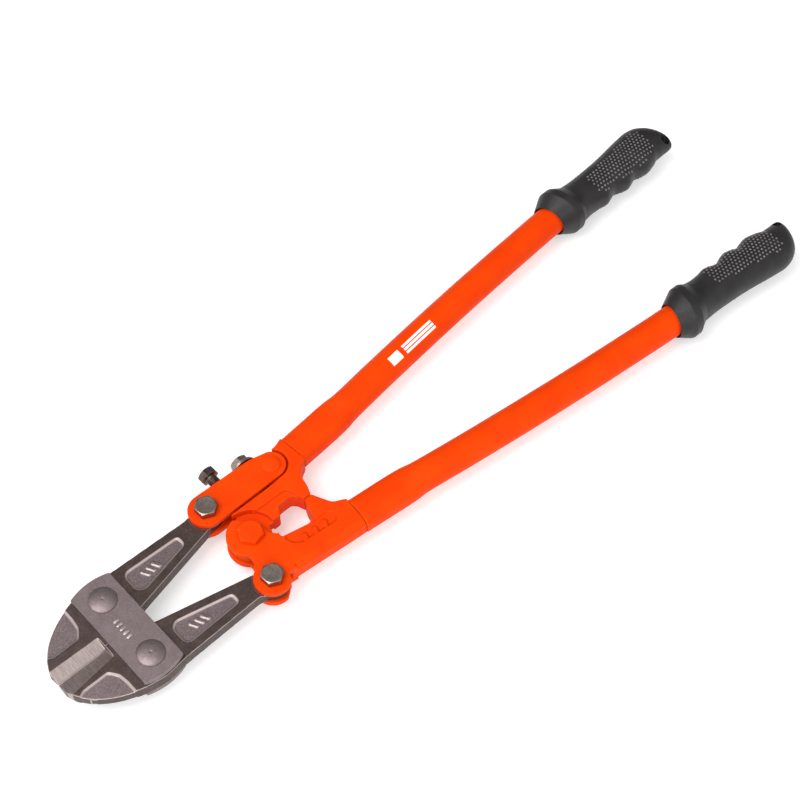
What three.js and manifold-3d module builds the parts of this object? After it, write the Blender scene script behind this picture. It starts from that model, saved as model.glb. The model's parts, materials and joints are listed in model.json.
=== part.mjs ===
// Bolt cutters of the 24 inch class: two jaws between side plates, two cast levers on steel tubes
// with moulded grips, and an adjustable link at the upper jaw.
// Millimetres. While it is drawn, x runs back from the jaw tips and y = z = 0 is the middle line.
import * as THREE from "three";
import { mergeVertices } from "three/addons/utils/BufferGeometryUtils.js";
import Module from "manifold-3d";

// Overall
const LENGTH = 608; // jaw tips to grip ends
const REST_Z = -18.2; // lowest points: the grip collars and the two jaw bolt ends
const GAP = 0.3; // between pieces that touch
const THROUGH = [-20, 20]; // a height range well past both faces
const CHORD_ERROR = 0.05; // how far a chord may cut inside its arc

// Pivots of the linkage, upper side; the lower side mirrors them
const JAW_PIVOT = [54.5, 25];
const JAW_JOINT = [145.5, 34];
const CENTRE = [155, 0];
const LINK_PIVOT = [199, 32.5];

// Layers, as heights above the middle plane
const JAW_HALF = 4.6;
const JAW_END_HALF = 3.6;
const NOSE_HALF = 3.5;
const SIDE_PLATE = [4.9, 9.1];
const FORK_PLATE = [3.9, 7.9];
const TONGUE_HALF = 3.5;
const CASTING_HALF = 7.9;

// Round stock
const JAW_RIVET_R = 7;
const JAW_BOLT_R = 4;
const CENTRE_BOLT_R = 5;
const LINK_RIVET_R = 5;
const SCREW_R = 4;
const JAW_END_R = 10.5;
const FORK_LOBE_R = 12.6;
const CENTRE_BOSS_R = 16.2;
const TONGUE_R = 14.5;
const TONGUE_HOLE_R = 7.8; // free play of the centre pivot, hidden between the fork plates
const LINK_END_R = 10.3;

// Jaws
const BLADE_GAP = 0.15; // from the middle line to each cutting edge
const BLADE_LENGTH = 37;
const EDGE_HALF = 0.4;
const UPPER_BEVEL = [9, 8.3]; // width of the ground bevel at the tip and at the rear
const LOWER_BEVEL = [13.2, 9.3];

// Handles
const TUBE_START = 218.3;
const TUBE_END = 590;
const TUBE_R = 11.2;
const TUBE_WALL = 2;
const GRIP_BORE_R = TUBE_R + GAP;
const HANG_HOLE = { x: 602.8, inward: 8.6, radius: 3.3 };

// Rivet heads
const JAW_RIVET_HEAD = { radius: 9.4, dome: 2.2 };
const LINK_RIVET_HEAD = { radius: 6.6, dome: 1.9 };

// Bolts of the linkage; turns are in degrees
const SEAT_GAP = 0.2; // under each washer and nut
const HEAD_SEAT = 8; // underside of the bolt heads
const JAW_BOLT = {
  radius: JAW_BOLT_R,
  flats: 14,
  head: 5.3,
  turn: 35,
  washer: { radius: 7, thickness: 2 },
  nutHeight: 6.5,
  nutTurn: 47,
};
const CENTRE_BOLT = {
  radius: CENTRE_BOLT_R,
  flats: 16,
  head: 4,
  turn: 10,
  length: 25.4,
  washer: { radius: 8.6, thickness: 2.2 },
  nutHeight: 5.4,
  nutTurn: 25,
};

// Adjusting screws, along y
const ALONG_Y = [-Math.PI / 2, 0, 0];
const SCREW_HEAD = { flats: 12, height: 5.3 };
const FRONT_SCREW_X = 165;
const FRONT_SCREW_TIP = 20.9;
const FRONT_SCREW_HEAD = 55.2;
const LOCK_SCREW_X = 186.4;
const LOCK_SCREW_TIP = 12.5;
const LOCK_SCREW_HEAD = 47.7;
const LOCK_WASHER = [45.8, 47.4];
const LOCK_WASHER_R = 9.4;

const wasm = await Module();
wasm.setup();

const PAINT = { color: 0xfe4b05, roughness: 0.35, metalness: 0 };
const FORGED = { color: 0x84777a, roughness: 0.5, metalness: 0.7 };
const ZINC = { color: 0x716960, roughness: 0.35, metalness: 0.9 };
const RUBBER = { color: 0x3a3839, roughness: 0.75, metalness: 0 };

// ---------------------------------------------------------------- shapes

function arc(x, y, radius, from, to) {
  const step = THREE.MathUtils.radToDeg(2 * Math.acos(1 - CHORD_ERROR / radius));
  const steps = Math.max(1, Math.ceil(Math.abs(to - from) / step));
  return Array.from({ length: steps + 1 }, (_, i) => {
    const angle = THREE.MathUtils.degToRad(from + ((to - from) * i) / steps);
    return [x + radius * Math.cos(angle), y + radius * Math.sin(angle)];
  });
}

function spline(points, steps) {
  const curve = new THREE.SplineCurve(points.map(([x, y]) => new THREE.Vector2(x, y)));
  return curve.getPoints(steps).map((p) => [p.x, p.y]);
}

// A closed outline through corners [x, y, radius]: each corner is rounded by its radius.
function outline(corners) {
  const points = [];
  corners.forEach(([x, y, radius = 0], i) => {
    const corner = new THREE.Vector2(x, y);
    if (radius === 0) {
      points.push(corner);
      return;
    }
    const [bx, by] = corners.at(i - 1);
    const [ax, ay] = corners[(i + 1) % corners.length];
    const back = new THREE.Vector2(bx, by).sub(corner).normalize();
    const ahead = new THREE.Vector2(ax, ay).sub(corner).normalize();
    const half = Math.acos(THREE.MathUtils.clamp(back.dot(ahead), -1, 1)) / 2;
    const inward = back.clone().add(ahead).normalize();
    const centre = corner.clone().addScaledVector(inward, radius / Math.sin(half));
    const reach = radius / Math.tan(half);
    const start = corner.clone().addScaledVector(back, reach).sub(centre).angle();
    const end = corner.clone().addScaledVector(ahead, reach).sub(centre).angle();
    const turn = Math.atan2(Math.sin(end - start), Math.cos(end - start));
    const from = THREE.MathUtils.radToDeg(start);
    const to = from + THREE.MathUtils.radToDeg(turn);
    for (const [px, py] of arc(centre.x, centre.y, radius, from, to)) {
      points.push(new THREE.Vector2(px, py));
    }
  });
  return new THREE.Shape(points);
}

// A closed geometry as a solid; a mirrored one has its faces turned to point out again.
function solid(geometry, mirrored = false) {
  const bare = geometry.index ? geometry.toNonIndexed() : geometry.clone();
  bare.deleteAttribute("normal");
  bare.deleteAttribute("uv");
  const merged = mergeVertices(bare, 1e-4);
  const triVerts = [];
  for (let i = 0; i < merged.index.count; i += 3) {
    const [a, b, c] = [0, 1, 2].map((k) => merged.index.getX(i + k));
    if (a !== b && b !== c && c !== a) triVerts.push(a, ...(mirrored ? [c, b] : [b, c]));
  }
  const vertProperties = merged.attributes.position.array;
  const mesh = new wasm.Mesh({ numProp: 3, vertProperties, triVerts: new Uint32Array(triVerts) });
  return new wasm.Manifold(mesh);
}

// The outline extruded between two heights.
function slab(corners, low, high) {
  const geometry = new THREE.ExtrudeGeometry(outline(corners), {
    depth: high - low,
    bevelEnabled: false,
  });
  return solid(geometry.translate(0, 0, low));
}

// The same outline above and below the middle plane.
function pair(corners, low, high) {
  return slab(corners, low, high).add(slab(corners, -high, -low));
}

// A cutter for a sunk panel with sloping sides, mirrored above and below the middle plane.
function sunk(corners, floor, slope) {
  const geometry = new THREE.ExtrudeGeometry(outline(corners), {
    depth: 10,
    bevelEnabled: true,
    bevelThickness: slope,
    bevelSize: slope,
    bevelSegments: 1,
  });
  geometry.translate(0, 0, floor + slope);
  return solid(geometry).add(solid(geometry.clone().scale(1, 1, -1), true));
}

function cylinder(x, y, radius, low, high, sides = 18) {
  const geometry = new THREE.CylinderGeometry(radius, radius, high - low, sides);
  return solid(geometry.rotateX(Math.PI / 2).translate(x, y, (low + high) / 2));
}

// A cylinder along y.
function crossBar(x, radius, low, high, sides = 18) {
  const geometry = new THREE.CylinderGeometry(radius, radius, high - low, sides);
  return solid(geometry.translate(x, (low + high) / 2, 0));
}

// A turned profile of [radius, height] points on a vertical axis.
function turned(profile, sides = 18) {
  const points = profile.map(([r, z]) => new THREE.Vector2(r, z));
  return new THREE.LatheGeometry(points, sides).rotateX(Math.PI / 2);
}

// Rings of points joined into a closed body; every ring turns the same way about +X.
function loft(rings, reversed = false) {
  const count = rings[0].length;
  const points = rings.flat();
  for (const ring of [rings[0], rings.at(-1)]) {
    const middle = new THREE.Vector3();
    ring.forEach((p) => middle.addScaledVector(p, 1 / count));
    points.push(middle);
  }
  const [first, last] = [points.length - 2, points.length - 1];
  const faces = [];
  for (let j = 0; j < count; j += 1) {
    const k = (j + 1) % count;
    const tail = (rings.length - 1) * count;
    faces.push([first, k, j], [last, tail + j, tail + k]);
    for (let i = 0; i < rings.length - 1; i += 1) {
      const [a, b] = [i * count, (i + 1) * count];
      faces.push([a + j, a + k, b + j], [a + k, b + k, b + j]);
    }
  }
  const order = reversed ? faces.map((f) => f.reverse()) : faces;
  return new THREE.BufferGeometry().setFromPoints(points).setIndex(order.flat());
}

// ---------------------------------------------------------------- fasteners

// A hexagon with its top corners turned off, standing on z = 0.
function hexagon(flats, height, turn) {
  const radius = flats / Math.sqrt(3);
  const prism = new THREE.CylinderGeometry(radius, radius, height, 6).rotateX(Math.PI / 2);
  prism.rotateZ(THREE.MathUtils.degToRad(turn)).translate(0, 0, height / 2);
  const cap = turned([
    [0, -1],
    [radius + 1, -1],
    [radius + 1, height - 1.6],
    [flats / 2 - 0.2, height],
    [0, height],
  ]);
  return solid(prism).intersect(solid(cap));
}

// A hexagon bolt, head up, with the underside of its head at z = 0.
function bolt(radius, flats, headHeight, length, turn) {
  const chamfer = 0.8;
  const shank = turned([
    [0, -length],
    [radius - chamfer, -length],
    [radius, -length + chamfer],
    [radius, 1],
    [0, 1],
  ]);
  return hexagon(flats, headHeight, turn).add(solid(shank));
}

function ringOf(inner, outer, low, high) {
  return cylinder(0, 0, outer, low, high).subtract(cylinder(0, 0, inner, ...THROUGH));
}

function nut(radius, flats, height, turn) {
  return hexagon(flats, height, turn).subtract(cylinder(0, 0, radius + GAP, ...THROUGH));
}

// A spring washer: a ring with one slanting split.
function springWasher(radius, outer, thickness) {
  const split = new THREE.BoxGeometry(outer, 1, thickness * 4).rotateX(0.5);
  const ring = ringOf(radius + GAP, outer, 0, thickness);
  return ring.subtract(solid(split.translate(-outer / 2 - radius / 2, 0, thickness / 2)));
}

// A rivet through plates whose outer faces stand at +-face, with a low domed head on each side.
function rivet(radius, { radius: headRadius, dome }, face) {
  const base = face + SEAT_GAP;
  const half = [
    [radius, base],
    [headRadius, base],
    [headRadius, base + 0.4],
    [headRadius * 0.86, base + dome * 0.62],
    [headRadius * 0.5, base + dome * 0.93],
    [0, base + dome],
  ];
  const mirrored = half.map(([r, z]) => [r, -z]).reverse();
  return turned([...mirrored, ...half]);
}

// ---------------------------------------------------------------- head

const PLATE_X = [39, 69.5];
const PLATE_CORNER_Y = 38.4;
const PLATE_END_R = 42.9;
const PLATE_END_SPAN = 20.8; // half angle of the bulging end

function sidePlate(low, high) {
  const middle = (PLATE_X[0] + PLATE_X[1]) / 2;
  const drop = PLATE_CORNER_Y - PLATE_END_R * Math.cos(THREE.MathUtils.degToRad(PLATE_END_SPAN));
  const [from, to] = [90 - PLATE_END_SPAN, 90 + PLATE_END_SPAN];
  const blank = slab(
    [
      ...arc(middle, drop, PLATE_END_R, from, to),
      ...arc(middle, -drop, PLATE_END_R, from + 180, to + 180),
    ],
    low,
    high,
  );
  const [x, y] = JAW_PIVOT;
  const upper = cylinder(x, y, JAW_RIVET_R + GAP, ...THROUGH);
  const lower = cylinder(x, -y, JAW_RIVET_R + GAP, ...THROUGH);
  return blank.subtract(upper).subtract(lower);
}

const NOSE_CURVE = [
  [0, 8.6],
  [4, 16.6],
  [11, 25],
  [21, 32.2],
  [31, 36.9],
  [39.5, 39.7],
];
const JAW_OUTLINE = [
  [0, BLADE_GAP, 0.5],
  ...spline(NOSE_CURVE, 12),
  [54.3, 42.2, 30],
  [69.5, 40.1, 20],
  [131, 38.2, 8],
  ...arc(...JAW_JOINT, JAW_END_R, 140, -105),
  [138, 22.6],
  [41, BLADE_GAP, 6],
];
const NOSE_PANEL = [
  [-6, 14.5],
  [2, 19.5],
  [8.8, 16.2, 2],
  [27, 16.2, 2],
  [31.2, 22, 6],
  [32.2, 30],
  [32.2, 48],
  [-6, 48],
];
const SHANK_PANEL = [
  [76.6, 32.9, 4],
  [118.8, 31.4, 2],
  [118.8, 25.1, 2],
  [81, 16.2, 4],
  [76.6, 19, 4],
];
const PANEL_SLOPE = 1.2;
const SHANK_FLOOR = 3.5;

// The wedge of metal ground away over the blade, above the middle plane for sign = 1.
function bevelCut([tip, rear], sign) {
  const ring = (x, width) => {
    const rise = (JAW_HALF - EDGE_HALF) / (width - BLADE_GAP);
    const over = 2; // how far the cutter stands clear of the metal
    return [
      [-over, EDGE_HALF - rise * (over + BLADE_GAP)],
      [width + over, JAW_HALF + rise * over],
      [-over, JAW_HALF + rise * over],
    ].map(([y, z]) => new THREE.Vector3(x, y, sign * z));
  };
  return solid(loft([ring(-1, tip), ring(BLADE_LENGTH, rear)], sign < 0));
}

function jaw(bevel) {
  const [px, py] = JAW_PIVOT;
  const [jx, jy] = JAW_JOINT;
  const whole = slab(JAW_OUTLINE, -JAW_END_HALF, JAW_END_HALF);
  const thick = slab(JAW_OUTLINE, -JAW_HALF, JAW_HALF).subtract(
    cylinder(jx, jy, FORK_LOBE_R + 0.8, ...THROUGH, 36),
  );
  return whole
    .add(thick)
    .subtract(sunk(NOSE_PANEL, NOSE_HALF, PANEL_SLOPE))
    .subtract(sunk(SHANK_PANEL, SHANK_FLOOR, PANEL_SLOPE))
    .subtract(bevelCut(bevel, 1))
    .subtract(bevelCut(bevel, -1))
    .subtract(cylinder(px, py, JAW_RIVET_R + GAP, ...THROUGH))
    .subtract(cylinder(jx, jy, JAW_BOLT_R + GAP, ...THROUGH));
}

// ---------------------------------------------------------------- handle line

// Middle line of the upper handle.
const HANDLE_LINE = new THREE.SplineCurve(
  [
    [205, 31.9],
    [219, 33.1],
    [261, 37.2],
    [301, 42.5],
    [351, 48.6],
    [401, 54],
    [451, 58.6],
    [490, 61.7],
    [525, 62.8],
    [565, 63.6],
    [LENGTH, 64.4],
  ].map(([x, y]) => new THREE.Vector2(x, y)),
);

// The point of the middle line at x, and the unit vector across it.
function station(x) {
  let [low, high] = [0, 1];
  for (let i = 0; i < 30; i += 1) {
    const t = (low + high) / 2;
    if (HANDLE_LINE.getPoint(t).x < x) low = t;
    else high = t;
  }
  const tangent = HANDLE_LINE.getTangent(low);
  return { at: HANDLE_LINE.getPoint(low), across: new THREE.Vector2(-tangent.y, tangent.x) };
}

// One cross-section of a handle: from `inner` to `outer` across the line and +-half in height.
// A squareness of 2 is an ellipse; more is boxier. A section that leans is set back on its inner side.
function section({ x, inner, outer, half, squareness = 2, lean = 0 }, sides) {
  const { at, across } = station(x);
  const bend = (v) => Math.sign(v) * Math.abs(v) ** (2 / squareness);
  return Array.from({ length: sides }, (_, i) => {
    const angle = (i / sides) * 2 * Math.PI;
    const offset = (outer - inner) / 2 + ((outer + inner) / 2) * bend(Math.cos(angle));
    const point = at.clone().addScaledVector(across, offset);
    return new THREE.Vector3(point.x - lean * offset, point.y, half * bend(Math.sin(angle)));
  });
}

// The point on the upper handle at x along its middle line and `offset` across it.
function beside(x, offset) {
  const { at, across } = station(x);
  return [at.x + across.x * offset, at.y + across.y * offset];
}

function alongHandle(sections, sides) {
  return loft(sections.map((s) => section(s, sides)));
}

// ---------------------------------------------------------------- castings

const TANG = { from: 213, to: 250, width: 9.5, thick: 5.8 };
const STOP_Y = -3; // where the two stop bumps meet
const SEAM_INNER = beside(TUBE_START - GAP, -11.7);
const SEAM_OUTER = beside(TUBE_START - GAP, 11.2);

const SHELF_HALF = 6.5; // the web's thicker part
const FORK_SWEEP = 2.2; // room around the boss for the fork plates as they turn
const LINK_SEAM = 1.5; // between the casting's ridge and the link above it
const WEB_EDGE = [
  [150, 3],
  [157, -1.2],
  [179, -1.2, 1.5],
  [183, 5.2, 2],
  [193, 5.2, 3],
  [199, -1],
  [206, 10],
];

function upperCasting() {
  const tongue = cylinder(...CENTRE, TONGUE_R, -TONGUE_HALF, TONGUE_HALF, 32);
  const [linkX, linkY] = LINK_PIVOT;
  const web = slab(
    [
      ...WEB_EDGE,
      [214, 30],
      [212, 40],
      [linkX, 41],
      [linkX - 7.6, linkY],
      [linkX - 7.6, 19],
      [156, 17.8, 3],
    ],
    -TONGUE_HALF,
    TONGUE_HALF,
  );
  const shelf = slab([...WEB_EDGE, [186, 19], [156, 17.8]], -SHELF_HALF, SHELF_HALF).subtract(
    cylinder(...CENTRE, CENTRE_BOSS_R + FORK_SWEEP, ...THROUGH, 36),
  );
  const ridge = slab(
    [
      [156.2, 19.8, 0.6],
      ...arc(...CENTRE, CENTRE_BOSS_R + FORK_SWEEP + 0.2, 94, 38),
      [194.5, 11.4, 5],
      [196.5, 3, 4],
      [198.4, STOP_Y + 0.2, 0.8],
      [204, STOP_Y + 0.2, 1.2],
      [206.4, 3.5, 6],
      [208.4, 12.6, 5],
      [213, 17.6, 4],
      SEAM_INNER,
      SEAM_OUTER,
      [211, 42, 4],
      ...arc(...LINK_PIVOT, LINK_END_R + LINK_SEAM, 50, -90),
      [186, 19.9, 20],
    ],
    -CASTING_HALF,
    CASTING_HALF,
  );
  return tongue
    .add(web)
    .add(shelf)
    .add(ridge)
    .add(tang(1))
    .subtract(cylinder(...CENTRE, TONGUE_HOLE_R, ...THROUGH))
    .subtract(cylinder(...LINK_PIVOT, LINK_RIVET_R + GAP, ...THROUGH))
    .subtract(crossBar(LOCK_SCREW_X, SCREW_R + GAP, LOCK_SCREW_TIP - GAP, 30));
}

const FORK_OUTLINE = [
  ...arc(...CENTRE, CENTRE_BOSS_R, 97, 228),
  [143.9, -17, 3],
  ...arc(JAW_JOINT[0], -JAW_JOINT[1], FORK_LOBE_R, 117, 314),
  [155.6, -38.6, 2],
  [178, -40],
  [178, -28, 3],
  [172.5, -26, 4],
  [168.8, -18, 5],
  [169.4, -12.5, 2],
  [164.8, -6, 4],
  [164.8, 5, 3],
  [158.6, 11.4, 4],
];
const LOWER_BODY = [
  [169.6, -10.2],
  [168.8, -14.9, 1.5],
  [189, -19.2, 4],
  [194.6, -17, 4],
  [196, -8.6, 5],
  [198.4, STOP_Y - 0.2, 1],
  [204, STOP_Y - 0.2, 1.2],
  [206.6, -9, 6],
  [210.5, -17, 6],
  [SEAM_INNER[0], -SEAM_INNER[1]],
  [SEAM_OUTER[0], -SEAM_OUTER[1]],
  [204, -43.2],
  [157.4, -38.8, 2],
  [157.6, -30, 4],
  [160.5, -20, 4],
  [167, -13.6, 2],
];
const MARK_PANEL = [
  [170, -16.6, 1],
  [190, -21, 4],
  [203, -20, 3],
  [206, -24, 3],
  [204, -29, 3],
  [177, -26.6, 3],
  [172.4, -23.4, 2],
];
const MARK_FLOOR = 6.6;
const OUTER_CHAMFER = { x: [162, 219], y: [-35.2, -40.2], depth: 4.2 };

// What the lower fork plate lacks at the rear corner of its lobe.
const LOBE_TRIM = [
  [147, -46.8],
  [153.4, -41.8],
  [157.2, -39.3],
  [157.2, -50],
  [147, -50],
];

// The sloping outer shoulder of the lower casting, above the middle plane for sign = 1.
function shoulderCut(sign) {
  const { x, y, depth } = OUTER_CHAMFER;
  const ring = (at, inner) => {
    const slope = 0.8;
    return [
      [inner, CASTING_HALF + 2],
      [inner, CASTING_HALF],
      [inner - depth / slope - 4, CASTING_HALF - depth - 4 * slope],
      [inner - depth / slope - 8, CASTING_HALF + 2],
    ].map(([py, pz]) => new THREE.Vector3(at, py, sign * pz));
  };
  return solid(loft([ring(x[0], y[0]), ring(x[1], y[1])], sign > 0));
}

function lowerCasting() {
  const [jx, jy] = JAW_JOINT;
  return pair(FORK_OUTLINE, ...FORK_PLATE)
    .subtract(slab(LOBE_TRIM, THROUGH[0], 0))
    .add(slab(LOWER_BODY, -CASTING_HALF, CASTING_HALF))
    .subtract(sunk(MARK_PANEL, MARK_FLOOR, 0.8))
    .subtract(shoulderCut(1))
    .subtract(shoulderCut(-1))
    .add(tang(-1))
    .subtract(cylinder(...CENTRE, CENTRE_BOLT_R + GAP, ...THROUGH))
    .subtract(cylinder(jx, -jy, JAW_BOLT_R + GAP, ...THROUGH));
}

// The tongue of a casting that fills the flattened end of its tube.
function tang(side) {
  const { from, to, width, thick } = TANG;
  const ends = [from, to].map((x) => ({
    x,
    inner: width,
    outer: width,
    half: thick,
    squareness: 3,
  }));
  const geometry = alongHandle(ends, 20);
  if (side > 0) return solid(geometry);
  const rings = ends.map((s) => section(s, 20).map((p) => new THREE.Vector3(p.x, -p.y, p.z)));
  return solid(loft(rings, true));
}

// ---------------------------------------------------------------- tubes and grips

// Width and height of the tube: flattened over the tang, then round.
const TUBE_SHAPE = [
  [TUBE_START, 12.1, 8.5, 3],
  [248, 12.2, 8.7, 3],
  [259, 12.1, 9.4, 2.6],
  [268, 11.3, 10.9, 2.1],
  [276, TUBE_R, TUBE_R, 2],
];
const TUBE_STATIONS = [310, 355, 400, 445, 485, 520, 555, TUBE_END];

function tubeBody(shrink, extra) {
  const round = TUBE_STATIONS.map((x) => [x, TUBE_R, TUBE_R, 2]);
  const shapes = [...TUBE_SHAPE, ...round].map(([x, wide, high, squareness], i, all) => {
    const end = (i === all.length - 1) - (i === 0);
    const [a, b] = [wide - shrink, high - shrink];
    return { x: x + end * extra, inner: a, outer: a, half: b, squareness };
  });
  return solid(alongHandle(shapes, 16));
}

function tube() {
  return tubeBody(0, 0).subtract(tubeBody(TUBE_WALL, 1));
}

// The grip: x, reach towards the other handle, reach away from it, half height.
const GRIP_SHAPE = [
  [487, 12.6, 12.6, 12.6],
  [496.5, 17.5, 17.5, 17.5],
  [498, 18.2, 18.2, 18.2],
  [503.5, 18.2, 18.2, 18.2],
  [509.5, 16.2, 13.4, 15.4],
  [519, 15.3, 13.2, 13.8],
  [527, 15.8, 13.4, 13.3],
  [533.5, 16.9, 13.7, 13.2],
  [538.5, 15.4, 13.9, 13.2],
  [544, 13.9, 14.1, 13.2],
  [549.5, 15.8, 14.7, 13.2],
  [555.5, 17.4, 15.4, 13.2],
  [560.5, 15.9, 16, 13.2],
  [565, 14.4, 16.6, 13.2],
  [570.5, 15.7, 17.4, 13.2],
  [576.5, 16.9, 18.2, 13.1],
  [585, 15.2, 18.9, 12.9],
  [592, 12.9, 17.8, 12.3],
  [598, 12.9, 14.8, 11.2],
  [602.5, 13.2, 10.2, 9.8],
  [606.2, 13, 2.8, 7.4],
  [LENGTH - 0.2, 10.9, -5.2, 3],
];
const COLLAR_END = 508; // the collar in front of this leans back on the inner side
const COLLAR_LEAN = 0.17;

function grip() {
  const shapes = GRIP_SHAPE.map(([x, inner, outer, half]) => {
    const lean = x < COLLAR_END ? COLLAR_LEAN : 0;
    return { x, inner, outer, half, lean };
  });
  const boreEnds = [GRIP_SHAPE[0][0] - 4, 505, 535, 565, TUBE_END + 1].map((x) => ({
    x,
    inner: GRIP_BORE_R,
    outer: GRIP_BORE_R,
    half: GRIP_BORE_R,
  }));
  const [hx, hy] = beside(HANG_HOLE.x, -HANG_HOLE.inward);
  const hole = cylinder(hx, hy, HANG_HOLE.radius, ...THROUGH);
  return solid(alongHandle(shapes, 20)).subtract(solid(alongHandle(boreEnds, 16))).subtract(hole);
}

// ---------------------------------------------------------------- adjusting link

const LINK_OUTLINE = [
  ...arc(...JAW_JOINT, FORK_LOBE_R, 92, 268),
  ...arc(...LINK_PIVOT, LINK_END_R, -92, 66),
  [190, 45.2, 30],
];

const FRONT_SLOT_END = 157.6;
const REAR_SLOT_R = 9.2;

// A forged bar with a clevis at each end, solid where the two screws cross it.
function adjustingLink() {
  const slotHalf = FORK_PLATE[0];
  const [rx, ry] = LINK_PIVOT;
  const box = (x0, x1, y0, y1) => [
    [x0, y0],
    [x1, y0],
    [x1, y1],
    [x0, y1],
  ];
  return slab(LINK_OUTLINE, -FORK_PLATE[1], FORK_PLATE[1])
    .subtract(slab(box(120, FRONT_SLOT_END, 0, 60), -slotHalf, slotHalf))
    .subtract(cylinder(rx, ry, REAR_SLOT_R, -slotHalf, slotHalf))
    .subtract(slab(box(rx - 8.4, 220, 0, ry), -slotHalf, slotHalf))
    .subtract(slab(box(rx, 220, 0, 60), -slotHalf, slotHalf))
    .subtract(cylinder(...JAW_JOINT, JAW_BOLT_R + GAP, ...THROUGH))
    .subtract(cylinder(rx, ry, LINK_RIVET_R + GAP, ...THROUGH))
    .subtract(crossBar(FRONT_SCREW_X, SCREW_R + GAP, 0, 60))
    .subtract(crossBar(LOCK_SCREW_X, SCREW_R + 2 * GAP, 0, 60));
}

// ---------------------------------------------------------------- assembly

const group = new THREE.Group();
group.position.set(-LENGTH / 2, 0, -REST_Z);

function add(name, shape, finish, { at = [0, 0, 0], tilt = [0, 0, 0], mirrored = false } = {}) {
  const { vertProperties, triVerts } = shape.getMesh();
  const geometry = new THREE.BufferGeometry();
  geometry.setAttribute("position", new THREE.BufferAttribute(vertProperties, 3));
  geometry.setIndex(new THREE.BufferAttribute(triVerts, 1));
  geometry.computeVertexNormals();
  const mesh = new THREE.Mesh(geometry, new THREE.MeshStandardMaterial(finish));
  mesh.name = name;
  mesh.position.set(...at);
  mesh.rotation.set(...tilt);
  if (mirrored) mesh.scale.y = -1;
  group.add(mesh);
}

// A screw along y, between its tip and the underside of its head.
function addScrew(name, x, tip, head, turn) {
  const shape = bolt(SCREW_R, SCREW_HEAD.flats, SCREW_HEAD.height, head - tip, turn);
  add(name, shape, ZINC, { at: [x, head, 0], tilt: ALONG_Y });
}

// A bolt down through the linkage, its spring washer and its nut.
function addBolt(name, [x, y], size, length, finish) {
  const { radius, flats, head, turn, washer, nutHeight, nutTurn } = size;
  const washerZ = -FORK_PLATE[1] - SEAT_GAP - washer.thickness;
  const nutZ = washerZ - SEAT_GAP - nutHeight;
  add(name, bolt(radius, flats, head, length, turn), finish, { at: [x, y, HEAD_SEAT] });
  const ring = springWasher(radius, washer.radius, washer.thickness);
  add(name + "_spring_washer", ring, ZINC, { at: [x, y, washerZ] });
  add(name + "_nut", nut(radius, flats, nutHeight, nutTurn), finish, { at: [x, y, nutZ] });
}

// Head
add("upper_jaw", jaw(UPPER_BEVEL), FORGED);
add("lower_jaw", jaw(LOWER_BEVEL), FORGED, { mirrored: true });
add("side_plate_top", sidePlate(...SIDE_PLATE), FORGED);
add("side_plate_bottom", sidePlate(-SIDE_PLATE[1], -SIDE_PLATE[0]), FORGED);
const jawRivet = solid(rivet(JAW_RIVET_R, JAW_RIVET_HEAD, SIDE_PLATE[1]));
add("upper_jaw_rivet", jawRivet, FORGED, { at: [JAW_PIVOT[0], JAW_PIVOT[1], 0] });
add("lower_jaw_rivet", jawRivet, FORGED, { at: [JAW_PIVOT[0], -JAW_PIVOT[1], 0] });

// Handles
add("upper_handle_casting", upperCasting(), PAINT);
add("lower_handle_casting", lowerCasting(), PAINT);
add("upper_handle_tube", tube(), PAINT);
add("lower_handle_tube", tube(), PAINT, { mirrored: true });
add("upper_grip", grip(), RUBBER);
add("lower_grip", grip(), RUBBER, { mirrored: true });

// Adjusting link and its screws
add("adjusting_link", adjustingLink(), PAINT);
const linkRivet = solid(rivet(LINK_RIVET_R, LINK_RIVET_HEAD, FORK_PLATE[1]));
add("link_rivet", linkRivet, PAINT, { at: [LINK_PIVOT[0], LINK_PIVOT[1], 0] });
addScrew("front_adjusting_screw", FRONT_SCREW_X, FRONT_SCREW_TIP, FRONT_SCREW_HEAD, 10);
addScrew("rear_lock_screw", LOCK_SCREW_X, LOCK_SCREW_TIP, LOCK_SCREW_HEAD, 25);
const [washerLow, washerHigh] = LOCK_WASHER;
add("rear_lock_washer", ringOf(SCREW_R + GAP, LOCK_WASHER_R, 0, washerHigh - washerLow), ZINC, {
  at: [LOCK_SCREW_X, washerLow, 0],
  tilt: ALONG_Y,
});

// Bolts of the linkage, heads up, each with its spring washer and nut beneath
const [jointX, jointY] = JAW_JOINT;
const jawBoltLength = HEAD_SEAT - REST_Z;
addBolt("upper_jaw_bolt", [jointX, jointY], JAW_BOLT, jawBoltLength, ZINC);
addBolt("lower_jaw_bolt", [jointX, -jointY], JAW_BOLT, jawBoltLength, ZINC);
addBolt("centre_bolt", CENTRE, CENTRE_BOLT, CENTRE_BOLT.length, PAINT);

export default group;
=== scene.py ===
# Bolt cutters of the 24 inch class: the looks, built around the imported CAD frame.
import json
import math

import bmesh
import bpy
import numpy as np
from mathutils import Matrix, Vector

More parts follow.
